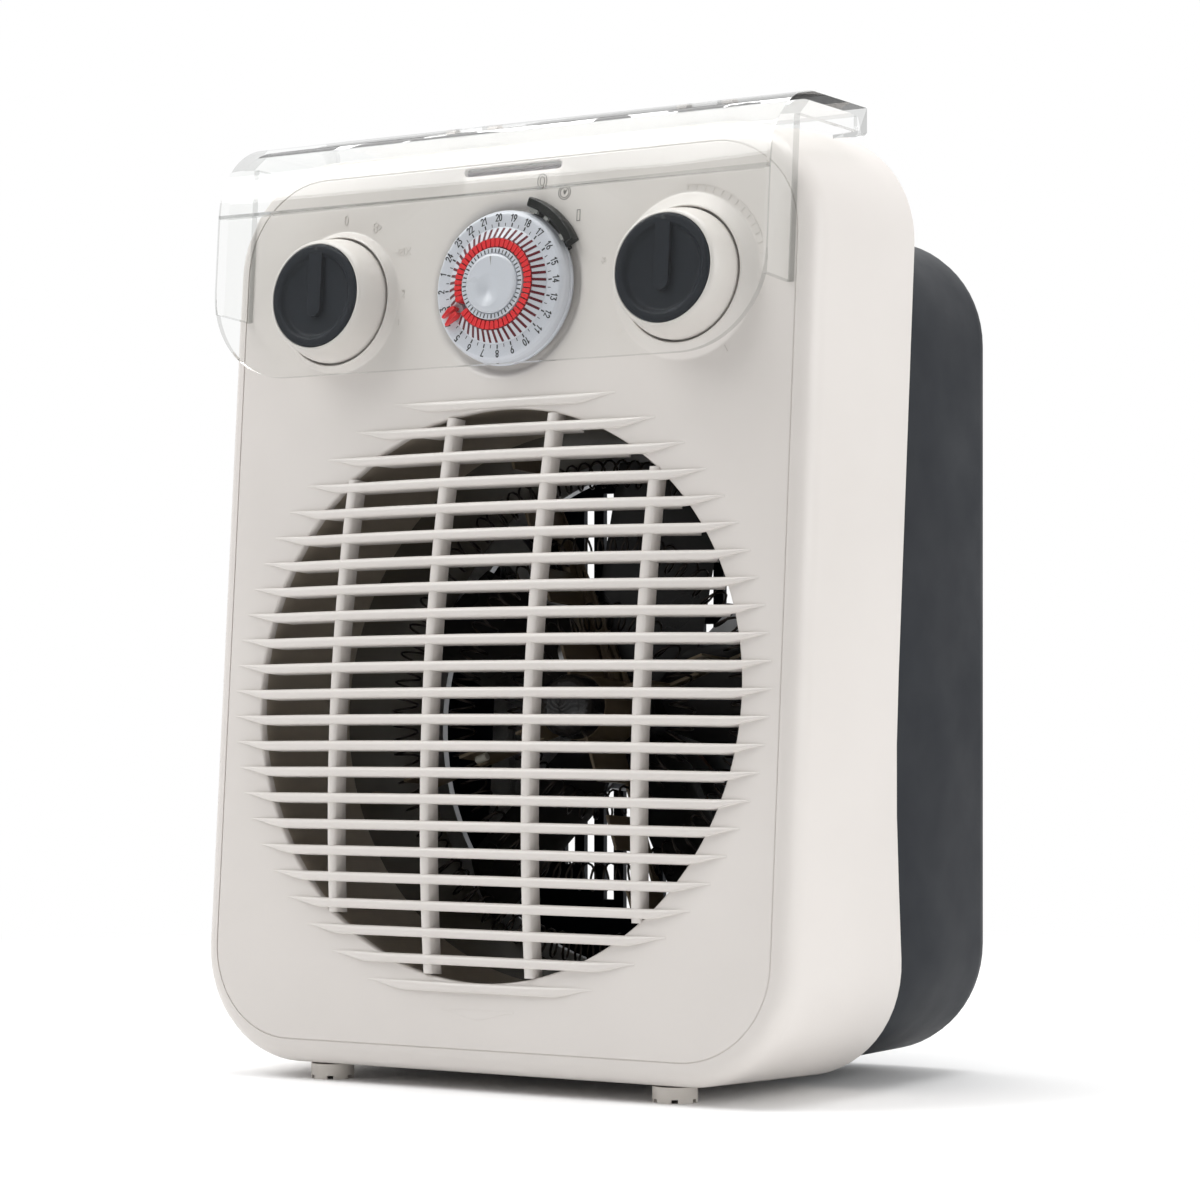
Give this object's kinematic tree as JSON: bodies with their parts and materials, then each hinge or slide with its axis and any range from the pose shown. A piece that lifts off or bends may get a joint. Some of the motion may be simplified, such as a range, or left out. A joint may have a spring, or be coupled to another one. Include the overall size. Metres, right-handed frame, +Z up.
{
  "type": "fan heater",
  "caption": "Compact free-standing fan heater: round louvred air outlet under a clear flip-up cover over two knobs and a 24-hour timer disc, dark rear housing with intake slots.",
  "frame": {"origin": "on the floor, under the middle of the heater's bounding box", "axes": "+X to the right seen from the front, +Y from the front towards the rear, +Z up"},
  "size_m": [0.23, 0.151, 0.3122],
  "materials": {
    "cream_plastic": "satin",
    "slate_plastic": "fine grain",
    "foot_cream": "satin",
    "foot_rubber": "matt",
    "duct_metal": "matt dark",
    "shroud_paint": "matt black",
    "zinc_steel": "zinc plated",
    "mica": "layered mica",
    "ribbon_alloy": "heat-darkened",
    "laminated_steel": "laminated",
    "copper_coil": "enamelled wire",
    "bronze": "sintered",
    "switch_plastic": "plain",
    "tinned_brass": "plain",
    "white_plastic": "satin",
    "nylon": "plain",
    "red_plastic": "satin",
    "lever_plastic": "satin",
    "red_lens": "clear tinted",
    "lamp_glass": "clear",
    "clear_plastic": "clear polished",
    "fan_plastic": "plain"
  },
  "bodies": {
    "heater": {"front_shell": "cream_plastic", "front_panel": "cream_plastic", "outlet_grille": "cream_plastic", "scale_marks": "cream_plastic", "rear_housing": "slate_plastic", "front_feet": "foot_cream", "rear_feet": "foot_rubber", "air_duct": "duct_metal", "fan_shroud": "shroud_paint", "element_hub": "switch_plastic", "duct_screws": "zinc_steel", "element_boards": "mica", "heating_ribbons": "ribbon_alloy", "thermal_cutout": "zinc_steel", "thermal_fuse": "nylon", "motor_spider": "zinc_steel", "motor_stator": "laminated_steel", "motor_coil": "copper_coil", "motor_bridges": "zinc_steel", "motor_bushings": "bronze", "motor_screws": "zinc_steel", "switch_body": "switch_plastic", "switch_terminals": "tinned_brass", "thermostat_body": "nylon", "thermostat_bimetal": "tinned_brass", "timer_case": "nylon", "timer_motor": "zinc_steel", "timer_microswitch": "switch_plastic", "indicator_lens": "red_lens", "indicator_lamp": "lamp_glass", "terminal_block": "nylon", "cord_gland": "foot_rubber", "cord_clamp": "switch_plastic", "rear_screws": "zinc_steel", "hinge_pins": "zinc_steel"},
    "cover": {"timer_cover": "clear_plastic"},
    "function_knob": {"function_collar": "cream_plastic", "function_cap": "slate_plastic", "function_spindle": "zinc_steel", "function_cam": "nylon"},
    "thermostat_knob": {"thermostat_collar": "cream_plastic", "thermostat_cap": "slate_plastic", "thermostat_spindle": "zinc_steel"},
    "timer_disc": {"timer_dial": "white_plastic", "dial_hub": "white_plastic", "dial_gear": "nylon", "tappets": "red_plastic"},
    "set_tappet_a": {"tappet_a": "red_plastic"},
    "set_tappet_b": {"tappet_b": "red_plastic"},
    "mode_lever": {"timer_lever": "lever_plastic"},
    "movement_pinion": {"timer_pinion": "tinned_brass"},
    "fan": {"fan_rotor": "fan_plastic", "motor_shaft": "zinc_steel", "motor_rotor": "laminated_steel"}
  },
  "joints": [
    {"name": "cover_hinge", "type": "hinge", "parent": "heater", "child": "cover", "pos_m": [0, -0.0034, 0.3098], "axis": [-1, 0, 0], "range_deg": [0, 100]},
    {"name": "function_turn", "type": "hinge", "parent": "heater", "child": "function_knob", "pos_m": [-0.0667, -0.05428, 0.25652], "axis": [0, 0.9971, -0.076], "range_deg": [0, 114]},
    {"name": "thermostat_turn", "type": "hinge", "parent": "heater", "child": "thermostat_knob", "pos_m": [0.0667, -0.05428, 0.25652], "axis": [0, 0.9971, -0.076], "range_deg": [0, 120]},
    {"name": "disc_turn", "type": "hinge", "parent": "heater", "child": "timer_disc", "pos_m": [0, -0.05424, 0.25702], "axis": [0, 0.9971, -0.076], "continuous": true},
    {"name": "pinion_turn", "type": "hinge", "parent": "heater", "child": "movement_pinion", "pos_m": [0, -0.05582, 0.23628], "axis": [0, 0.9971, -0.076], "continuous": true},
    {"name": "lever_turn", "type": "hinge", "parent": "heater", "child": "mode_lever", "pos_m": [0, -0.05424, 0.25702], "axis": [0, 0.9971, -0.076], "range_deg": [-15.5, 15.5]},
    {"name": "tappet_a_slide", "type": "slide", "parent": "timer_disc", "child": "set_tappet_a", "axis": [0.91, 0.0315, 0.4135], "range_m": [0, 0.004]},
    {"name": "tappet_b_slide", "type": "slide", "parent": "timer_disc", "child": "set_tappet_b", "axis": [0.848, 0.0403, 0.5284], "range_m": [0, 0.004]},
    {"name": "fan_spin", "type": "hinge", "parent": "heater", "child": "fan", "pos_m": [0, 0.02354, 0.11971], "axis": [0, 0.9971, -0.076], "continuous": true}
  ],
  "couplings": [
    {"joint": "pinion_turn", "follows": "disc_turn", "ratio": -3.3333}
  ]
}
